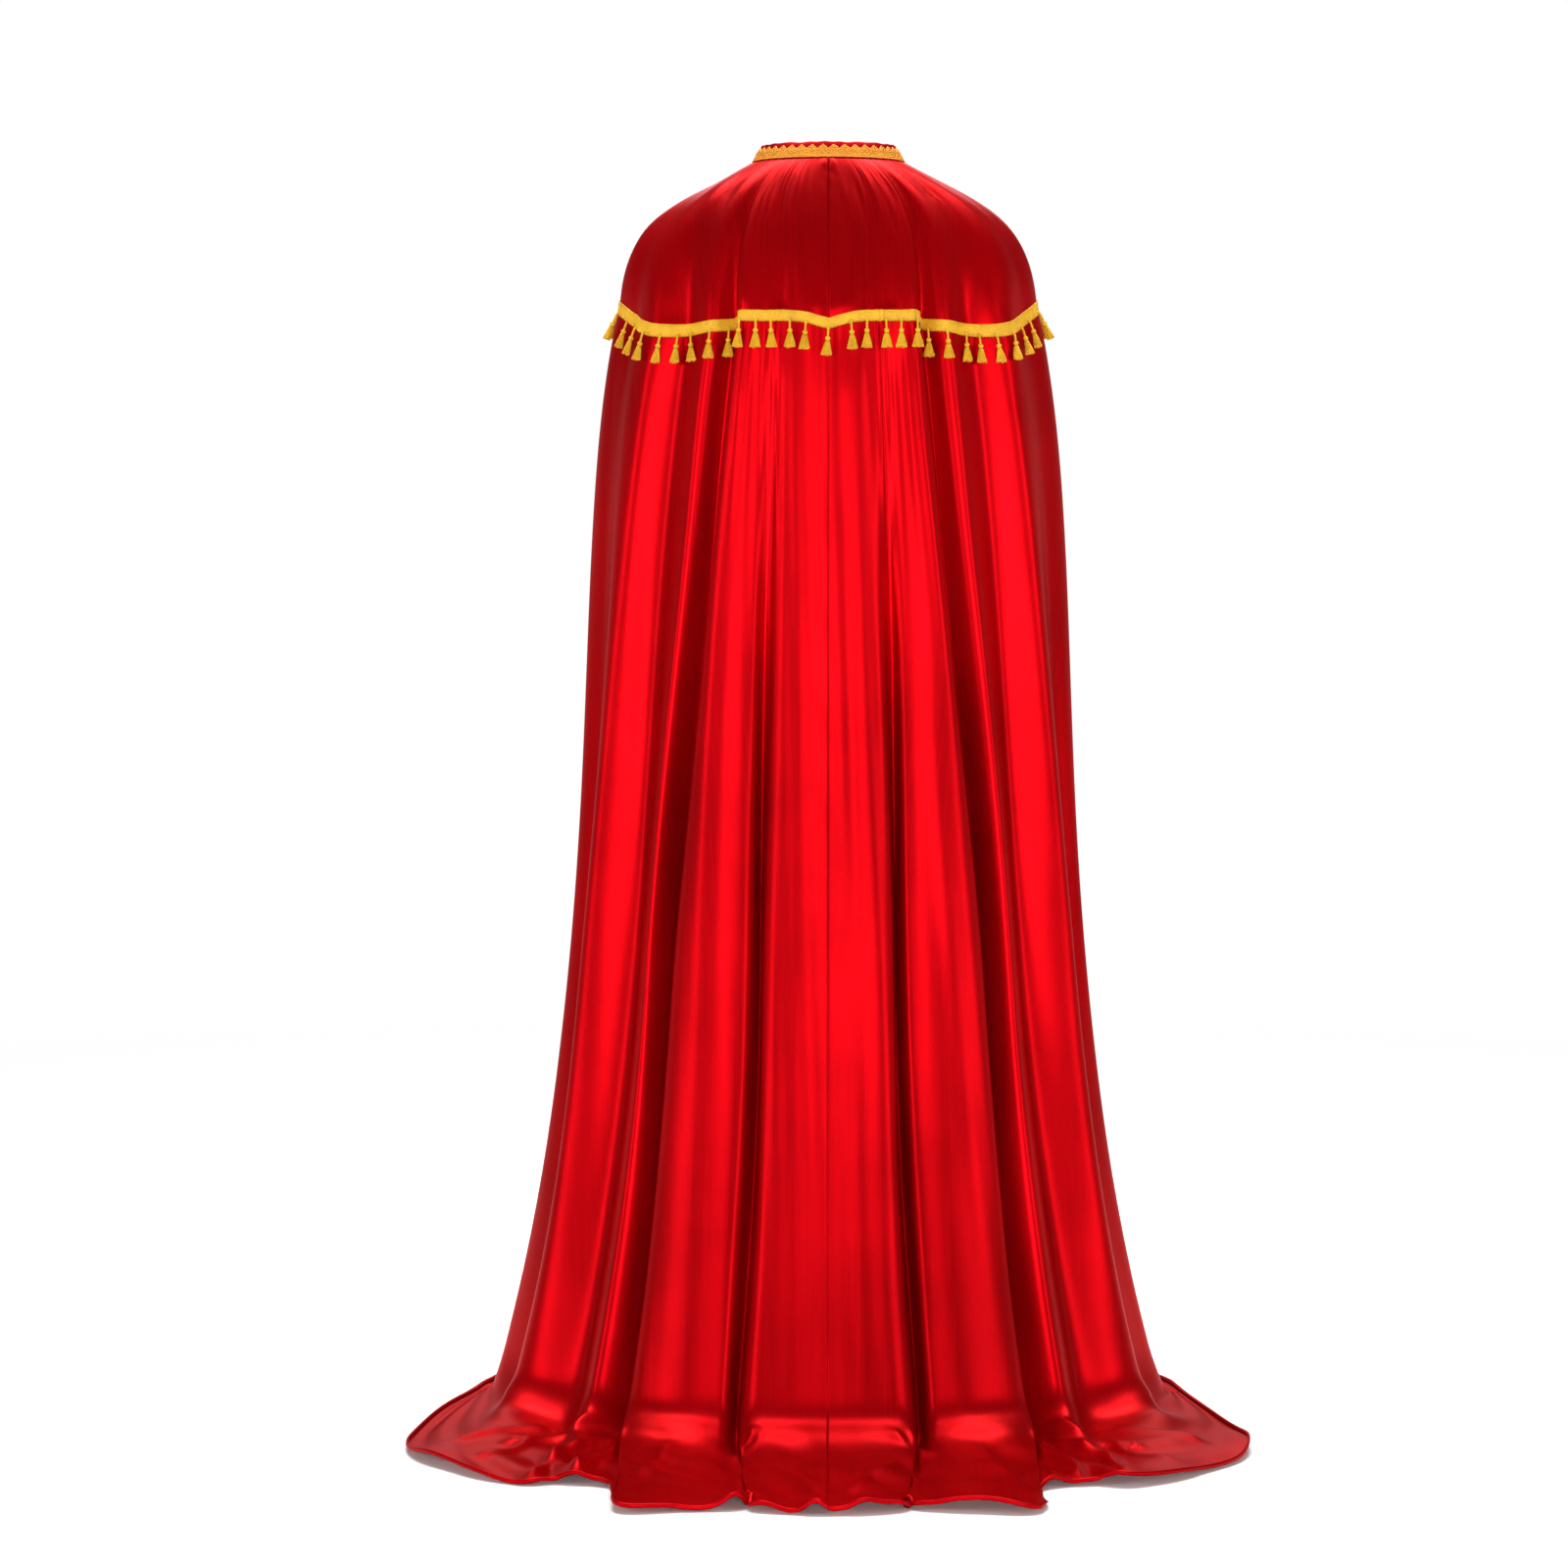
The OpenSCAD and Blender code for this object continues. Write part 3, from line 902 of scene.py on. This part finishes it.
class CAPE_OT_braid(bpy.types.Operator):
    """Lace braid: a woven foot, a row of points, an eyelet ring under each and corded edges"""
    bl_idname = "cape.braid"
    bl_label = "Lace braid"

    def execute(self, context):
        t = trim_sizes()
        count, top = t.braid_points, t.braid_height
        opening = math.radians(3.0)
        reach = math.pi - opening
        per = 16
        angles = np.linspace(-reach, reach, count * per + 1)
        phase = (angles + reach) / (2 * reach) * count
        point = 1 - 2 * np.abs(phase - np.floor(phase) - 0.5)
        low = top * 0.70
        rise = low + (top - low) * point
        foot = 0.0006
        # ground: rows from the foot to the zigzag, ridged where threads cross
        rows = np.linspace(0, 1, 13)[:, None]
        z = foot + (rise[None] - foot) * rows
        cross = phase[None] * TAU * 4
        weave = np.sin(cross + rows * 20) * np.sin(cross - rows * 20)
        out = 0.0008 + 0.00022 * weave
        face = band_point(angles[None] + 0 * z, z, out)
        back = band_point(angles[None] + 0 * z, z, 0.0004 + 0 * z)
        parts = [closed_pair(face, back)]
        # corded edges: two along the foot, one under the points, one along the zigzag
        for height, radius, off in ((foot + 0.0006, 0.0007, 0.0011),
                                    (foot + 0.0030, 0.0005, 0.0011),
                                    (low - 0.0010, 0.0004, 0.0011),
                                    (rise - 0.0003, 0.00055, 0.0010)):
            parts.append(band_cord(angles, height, radius, off))
        # eyelet rings, and a crossing lattice of cords between the foot and the points
        rings = []
        turn = np.linspace(0, TAU, 15)
        for k in range(count):
            centre = -reach + (k + 0.5) / count * 2 * reach
            a = centre + 0.0021 * np.cos(turn) / 0.080
            rings.append(band_point(a, low - 0.0002 + 0.0020 * np.sin(turn), 0.0013 + 0 * turn))
        rings = np.array(rings)
        parts.append(tubes(rings, np.full(rings.shape[:2], 0.00042), 5))
        for lean in (1, -1):
            k = np.arange(count * 2)[:, None] / 2
            along = (k + lean * np.linspace(-0.5, 0.5, 7)[None] + 0.5) / count
            a = -reach + np.clip(along, 0, 1) * 2 * reach
            h = mix(foot + 0.0032, low - 0.0012, np.linspace(0, 1, 7))[None] + 0 * a
            lattice = band_point(a, h, 0.0012 + 0 * a)
            parts.append(tubes(lattice, np.full(lattice.shape[:2], 0.00032), 4))
        verts, faces = join_parts(parts)
        piece = make_mesh("neck_braid_lace", verts, faces)
        recalculate(piece)
        dress(piece, "gold_lace", "neck_braid", "back")
        return {"FINISHED"}


def closed_pair(face, back):
    """Closed solid between two grids of the same size."""
    rows, cols = face.shape[:2]
    n = rows * cols
    quads = grid_faces(rows, cols)
    verts = np.concatenate([face.reshape(-1, 3), back.reshape(-1, 3)])
    faces = quads.tolist() + (quads[:, ::-1] + n).tolist()
    rim = [r * cols for r in range(rows)]
    rim += [(rows - 1) * cols + c for c in range(1, cols)]
    rim += [r * cols + cols - 1 for r in range(rows - 2, -1, -1)]
    rim += list(range(cols - 2, 0, -1))
    for a, b in zip(rim, rim[1:] + rim[:1]):
        faces.append([a, b, b + n, a + n])
    return verts, faces


class CAPE_OT_closure(bpy.types.Operator):
    """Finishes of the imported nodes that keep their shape: stiffener, hook and eye"""
    bl_idname = "cape.closure"
    bl_label = "Stiffener, hook and eye"

    def execute(self, context):
        for node, slot in (("neckband_interfacing", "interfacing"), ("neck_hook", "hook_wire"),
                           ("neck_eye", "hook_wire")):
            mesh = frame["nodes"][node].data
            mesh.materials.clear()
            mesh.materials.append(finish(slot))
        return {"FINISHED"}


# ---------------------------------------------------------------- fringe tape and tassels


def even_places(u0, u1, spacing):
    """Values of u from u0 to u1 that are the same distance apart along the tape."""
    dense = np.linspace(u0, u1, 3000)[None]
    path = surface(dense, np.ones_like(dense))[0]
    run = np.concatenate([[0], np.cumsum(np.linalg.norm(np.diff(path, axis=0), axis=-1))])
    return np.interp(np.linspace(0, run[-1], max(int(run[-1] / spacing), 8)), run, dense[0])


def over_seam(us, spread, lift, side):
    """Points over the yoke seam: spread is how far down the tape each lies, in metres, and lift
    how far off the cloth, along the surface's own normal."""
    def one_side(u, v):
        return surface(u, v, side)

    u, spread = np.broadcast_arrays(us, spread)
    v = np.where(spread < 0, 1 + spread / YOKE_LENGTH, 1 + spread / SKIRT_LENGTH)
    out = outward(one_side, u, v)
    out[..., 0] *= smooth(u / 0.1)
    return mirror(one_side(u, v) + np.broadcast_to(lift, u.shape)[..., None] * out, side)


class CAPE_OT_tape(bpy.types.Operator):
    """Ribbed fringe tape over the yoke seam, with corded edges and a picot edge below"""
    bl_idname = "cape.tape"
    bl_label = "Fringe tape"

    def execute(self, context):
        spacing = 0.0005
        self.build("fringe_tape_back", even_places(0, SIDE_SEAM, spacing), "back", (1, -1))
        for side, sign in SIDES:
            us = even_places(SIDE_SEAM + 0.02, FRONT_EDGE, spacing)
            self.build(f"fringe_tape_front_{side}", us, f"front_{side}", (sign,))
        return {"FINISHED"}

    def build(self, name, us, body, sides):
        """The tape as a closed strip, ribbed across every fourth column, with four cords along
        it and the picots below."""
        height = trim_sizes().tape_height
        rows = np.linspace(-0.5, 0.5, 9)[:, None]
        rib = 0.0002 * np.sin(np.arange(len(us)) * TAU / 4)[None]
        crown = np.cos(rows * 2.6)
        parts = []
        for side in sides:
            face = over_seam(us[None], rows * height, 0.0010 + (0.0006 + rib) * crown, side)
            back = over_seam(us[None], rows * height, 0.0004 + 0 * rib * crown, side)
            parts.append(closed_pair(face, back))
            for place, radius in ((-0.47, 0.0006), (-0.28, 0.0004), (0.28, 0.0004), (0.47, 0.0007)):
                cord = over_seam(us[None], np.array([[place * height]]), 0.0014, side)
                parts.append(tubes(cord, np.full(cord.shape[:2], radius), 5))
            parts.append(self.picots(us, height, side))
        piece = make_mesh(f"{name}_woven", *join_parts(parts))
        recalculate(piece)
        dress(piece, "gold_tape", name, body)

    def picots(self, us, height, side):
        """Half rings of thread below the tape, one every 8 columns."""
        every, turn = 8, np.linspace(0, math.pi, 7)
        middles = np.arange(every // 2, len(us) - every // 2, every)
        index = middles[:, None] + 3.1 * np.cos(turn)[None]
        u = np.interp(index, np.arange(len(us)), us)
        loop = over_seam(u, 0.46 * height + 0.0017 * np.sin(turn)[None], 0.0013, side)
        return tubes(loop, np.full(loop.shape[:2], 0.00042), 5)


# Length of a whole tassel and its radius at the cut end
TASSEL_DROP = 0.035
TASSEL_RADIUS = 0.0056


def tassel_axes(node):
    """Where a tassel hangs and the directions along the tape, out of its face and down its
    length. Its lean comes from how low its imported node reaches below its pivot."""
    joint = JOINTS[node]
    along = Vector(joint["axis"]).normalized()
    out = Vector((-along.y, along.x, 0.0))
    pivot = Vector(joint["pos_m"])
    drop = pivot.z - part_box(node)[0][2]
    reach = math.hypot(TASSEL_DROP, TASSEL_RADIUS)
    lean = math.atan2(TASSEL_RADIUS, TASSEL_DROP) + math.acos(min(drop / reach, 1.0))
    down = out * math.sin(lean) - Vector((0, 0, 1)) * math.cos(lean)
    face = out * math.cos(lean) + Vector((0, 0, 1)) * math.sin(lean)
    return pivot, along, face, down


def twisted_cord(length):
    """Two plies wound round each other as helices, their top end drawn back to the tape by
    3.4 mm, which fades as exp(-c / 2 mm)."""
    turns, radius, start = 3.4, 0.00078, -0.0025
    c = np.linspace(start, length + 0.0008, 34)
    back = -0.0034 * np.exp(-(c - start) / 0.0020)
    paths = []
    for k in range(2):
        a = TAU * turns * c / length + math.pi * k
        paths.append(np.stack([0.00066 * np.cos(a), back + 0.00066 * np.sin(a), c], -1))
    paths = np.array(paths)
    return tubes(paths, np.full(paths.shape[:2], radius), 7)


def wound_head(start, length):
    """Bead wound with thread: its radius is 1.3 mm + 1.9 mm sin(pi s / 0.78)^0.6 for three
    quarters of its length, ridged by ten turns of thread that climb as they go round, over a
    binding."""
    s = np.linspace(0, 1, 34)[:, None]
    a = np.linspace(0, TAU, 25)[None, :-1]
    ridge = 0.00016 * np.sin(s * TAU * 10 + a)
    ball = 0.0013 + 0.0019 * np.sin(np.clip(s / 0.78, 0, 1) * math.pi) ** 0.6
    binding = 0.0023 + 0.0002 * np.sin(s * TAU * 12)
    r = np.where(s < 0.74, ball + ridge, binding + 0 * ridge)
    points = np.stack([r * np.cos(a), r * np.sin(a), start + length * s + 0 * a], -1)
    rows, cols = points.shape[:2]
    faces = grid_faces(rows, cols, wrap=True).tolist()
    faces += [list(range(cols)), [(rows - 1) * cols + c for c in range(cols)][::-1]]
    return points.reshape(-1, 3), faces


def cut_skirt(start, length, threads, rng):
    """Threads that hang from the binding: each keeps its own share q of a radius that grows as
    s^0.85 from 2.1 mm, and less out of the tassel's face than along the tape, bows a little of
    its own, and is cut up to 1.5 mm short."""
    s = np.linspace(0, 1, 7)[None]
    q = np.sqrt(rng.uniform(0.08, 1.0, threads))[:, None]
    a = rng.uniform(0, TAU, threads)[:, None]
    cut = length - rng.uniform(0, 0.0015, threads)[:, None]
    flare = 0.0048 * s ** 0.85
    bow = 0.0005 * np.sin(s * math.pi + rng.uniform(0, TAU, threads)[:, None]) * s
    x = q * np.cos(a) * (0.0021 + flare) + bow
    y = q * np.sin(a) * (0.0021 + flare * 0.55) - bow
    z = start - 0.0006 + cut * s
    radii = np.broadcast_to(0.00050 - 0.00010 * s, x.shape)
    return tubes(np.stack([x, y, z], -1), radii, 4)


def skirt_core(start, length):
    """Closed cone of thread inside the cut skirt, so that no light passes through it."""
    sides, rings = 12, 3
    turn = np.linspace(0, TAU, sides + 1)[:-1]
    w = np.linspace(0, 1, rings)[:, None]
    points = np.stack([(0.0018 + 0.0032 * w) * np.cos(turn), (0.0018 + 0.0016 * w) * np.sin(turn),
                       start + length * 0.88 * w + 0 * turn], -1)
    last = (rings - 1) * sides
    faces = grid_faces(rings, sides, wrap=True).tolist()
    faces += [list(range(sides)), list(range(last, last + sides))[::-1]]
    return points.reshape(-1, 3), faces


class CAPE_OT_tassels(bpy.types.Operator):
    """Every tassel: twisted cord, wound head and a cut skirt of separate threads"""
    bl_idname = "cape.tassels"
    bl_label = "Tassels"

    def execute(self, context):
        t = trim_sizes()
        neck = t.cord_length + t.head_length
        for index, node in enumerate(sorted(n for n in JOINTS if n.startswith("tassel_"))):
            rng = np.random.default_rng(100 + index)
            pivot, along, face, down = tassel_axes(node)
            tilt = rng.normal(0, 0.05)
            across = along * math.cos(tilt) + down * math.sin(tilt)
            hang = down * math.cos(tilt) - along * math.sin(tilt)
            verts, faces = join_parts([
                twisted_cord(t.cord_length), wound_head(t.cord_length, t.head_length),
                cut_skirt(neck, t.brush_length, t.tassel_threads, rng),
                skirt_core(neck, t.brush_length)])
            verts = np.array(pivot) + verts @ np.array([across, face, hang])
            piece = make_mesh(f"{node}_threads", verts, faces)
            recalculate(piece)
            dress(piece, "tassel_thread", node, node)
        return {"FINISHED"}


# ---------------------------------------------------------------- stage


CAMERA_LENS = 92.2
CAMERA_PLACE = (0.0, 5.0, FLOOR + 1.05)
CAMERA_AIM = (0.055, 0.0, FLOOR + 0.766)
MIDDLE = (0.0, 0.0, FLOOR + 0.8)
# Name, place, target, width, height and watts of each studio light
LIGHTS = (
    ("key", (0.0, 5.6, FLOOR + 0.95), MIDDLE, 2.4, 0.6, 140),
    ("left", (4.2, 3.0, FLOOR + 1.6), MIDDLE, 0.6, 2.0, 60),
    ("right", (-4.2, 3.0, FLOOR + 1.6), MIDDLE, 0.6, 2.0, 60),
    ("top", (0.0, -0.9, FLOOR + 4.4), (0, 0.2, FLOOR), 3.0, 1.7, 270),
    ("front", (0.0, -4.2, FLOOR + 2.6), MIDDLE, 2.6, 1.8, 28),
)
PAPER_RADIUS = 40
PAPER_CORNERS = 64


def soft_light(name, place, target, width, height, watts):
    """Rectangular studio light, turned to its target."""
    data = bpy.data.lights.new(name, "AREA")
    data.shape = "RECTANGLE"
    data.size = width
    data.size_y = height
    data.energy = watts
    lamp = bpy.data.objects.new(name, data)
    lamp.location = place
    lamp.rotation_euler = (Vector(target) - Vector(place)).to_track_quat("-Z", "Y").to_euler()
    bpy.context.scene.collection.objects.link(lamp)


def studio():
    """White room whose light is uneven: strongest low down behind the wearer, weaker in front,
    dim at the sides and from 17 to 44 degrees up, and stronger again overhead. Its walls look
    evenly white themselves."""
    f = Finish("studio", "worlds", "Background")
    way = f.add("ShaderNodeSeparateXYZ", None, {"Vector": f.add("ShaderNodeTexCoord")})
    y, z = (Val(f, way.socket.node.outputs[axis]) for axis in "YZ")
    low = 1 - z.between(0.08, 0.30)
    ahead = 1 - y.between(-0.55, 0.1)
    behind = y.between(0.55, 0.95)
    overhead = z.between(0.70, 0.95)
    light = 0.15 + low * (0.25 + 0.35 * ahead + 0.60 * behind) + 0.35 * overhead
    seen = f.add("ShaderNodeLightPath")
    f.set(Color=(1, 1, 1, 1), Strength=light + seen * (1 - light))
    return f.material


class CAPE_OT_stage(bpy.types.Operator):
    """Camera behind the wearer, soft studio lights and a pale floor"""
    bl_idname = "cape.stage"
    bl_label = "Stage"

    def execute(self, context):
        scene = context.scene
        data = bpy.data.cameras.new("camera")
        data.lens = CAMERA_LENS
        data.sensor_width = 36.0
        camera = bpy.data.objects.new("camera", data)
        camera.location = CAMERA_PLACE
        aim = Vector(CAMERA_AIM)
        camera.rotation_euler = (aim - camera.location).to_track_quat("-Z", "Y").to_euler()
        scene.collection.objects.link(camera)
        scene.camera = camera
        for light in LIGHTS:
            soft_light(*light)
        scene.world = studio()
        scene.view_settings.view_transform = "Standard"
        turn = np.linspace(0, TAU, PAPER_CORNERS + 1)[:-1]
        rim = np.stack([PAPER_RADIUS * np.cos(turn), PAPER_RADIUS * np.sin(turn),
                        0 * turn + FLOOR - 0.0005], -1)
        floor = make_mesh("floor", rim, [list(range(PAPER_CORNERS))])
        floor.data.materials.append(finish("floor"))
        return {"FINISHED"}


# ---------------------------------------------------------------- panel and registration


class CAPE_PT_panel(bpy.types.Panel):
    """Sizes, colours and pieces of the cape"""
    bl_idname = "CAPE_PT_panel"
    bl_label = "Satin Cape"
    bl_space_type = "VIEW_3D"
    bl_region_type = "UI"
    bl_category = "Cape"

    def draw(self, context):
        for group in GROUPS:
            box = self.layout.box()
            sizes = getattr(context.scene, group)
            for key in GROUPS[group].__annotations__:
                box.prop(sizes, key)
        for operator in OPERATORS:
            self.layout.operator(operator.bl_idname)


GROUPS = {"cape_cloth": CapeCloth, "cape_trim": CapeTrim, "cape_colours": CapeColours}
OPERATORS = (CAPE_OT_stage, CAPE_OT_yoke, CAPE_OT_skirt, CAPE_OT_neckband, CAPE_OT_braid,
             CAPE_OT_closure, CAPE_OT_tape, CAPE_OT_tassels)


def register():
    for cls in (*GROUPS.values(), *OPERATORS, CAPE_PT_panel):
        bpy.utils.register_class(cls)
    for key, cls in GROUPS.items():
        setattr(bpy.types.Scene, key, PointerProperty(type=cls))


def unregister():
    for key in GROUPS:
        delattr(bpy.types.Scene, key)
    for cls in (CAPE_PT_panel, *reversed(OPERATORS), *reversed(GROUPS.values())):
        bpy.utils.unregister_class(cls)


def main():
    register()
    for operator in OPERATORS:
        group, name = operator.bl_idname.split(".")
        getattr(getattr(bpy.ops, group), name)()


if __name__ == "__main__":
    main()
